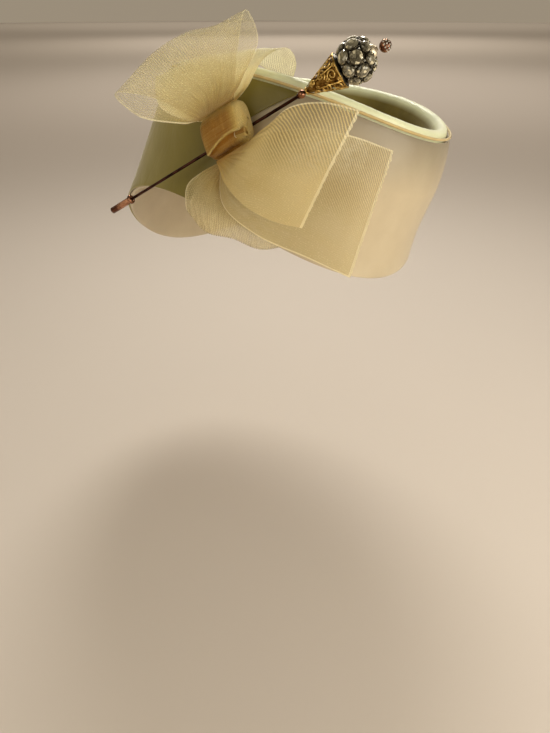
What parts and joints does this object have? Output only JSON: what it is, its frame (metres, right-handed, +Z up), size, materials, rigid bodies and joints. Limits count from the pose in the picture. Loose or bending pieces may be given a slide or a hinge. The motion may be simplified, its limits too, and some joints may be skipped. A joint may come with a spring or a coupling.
{
  "type": "tilt hat",
  "caption": "Satin tilt hat with a recessed crown, a deep side wall that dips at the back, a stiff net bow and a jewelled hatpin through its knot.",
  "frame": {"origin": "where the underside of the crown rests on top of the wearer's head", "axes": "+Z up as worn, the wearer faces -Y, and the wearer's right side, with the bow, is at -X"},
  "size_m": [0.2333, 0.224, 0.1668],
  "materials": {
    "peach_satin": "peach ivory satin with a soft sheen",
    "green_satin": "grey green satin with a soft sheen",
    "mint_satin": "pale grey green satin, padded over the rim",
    "tan_piping": "tan satin piping",
    "straw_net": "sheer straw coloured stiff net",
    "dark_gilt_metal": "aged dark gilt metal",
    "copper_metal": "polished copper coloured metal",
    "clear_stone": "clear faceted glass stones with foil backs"
  },
  "bodies": {
    "hat": {"side_band": "peach_satin", "side_panel": "green_satin", "rim_piping": "tan_piping", "crown": "mint_satin", "bow_upper_loop": "straw_net", "bow_back_loop": "straw_net", "bow_lower_loop": "straw_net", "bow_tail_under": "straw_net", "bow_tail_front": "straw_net", "bow_knot": "straw_net"},
    "pin": {"hatpin": "dark_gilt_metal", "pin_finial": "copper_metal", "stone_01": "clear_stone", "stone_02": "clear_stone", "stone_03": "clear_stone", "stone_04": "clear_stone", "stone_05": "clear_stone", "stone_06": "clear_stone", "stone_07": "clear_stone", "stone_08": "clear_stone", "stone_09": "clear_stone", "stone_10": "clear_stone", "stone_11": "clear_stone", "stone_12": "clear_stone", "stone_13": "clear_stone", "stone_14": "clear_stone", "stone_15": "clear_stone", "stone_16": "clear_stone", "stone_17": "clear_stone", "stone_18": "clear_stone", "stone_19": "clear_stone", "stone_20": "clear_stone", "stone_21": "clear_stone", "stone_22": "clear_stone"},
    "keeper": {"pin_keeper": "copper_metal"}
  },
  "joints": [
    {"name": "hatpin_slide", "type": "slide", "parent": "hat", "child": "pin", "axis": [0.424, -0.7531, 0.5031], "range_m": [0, 0.05]},
    {"name": "keeper_slide", "type": "slide", "parent": "pin", "child": "keeper", "axis": [-0.424, 0.7531, -0.5031], "range_m": [0, 0.018]}
  ]
}
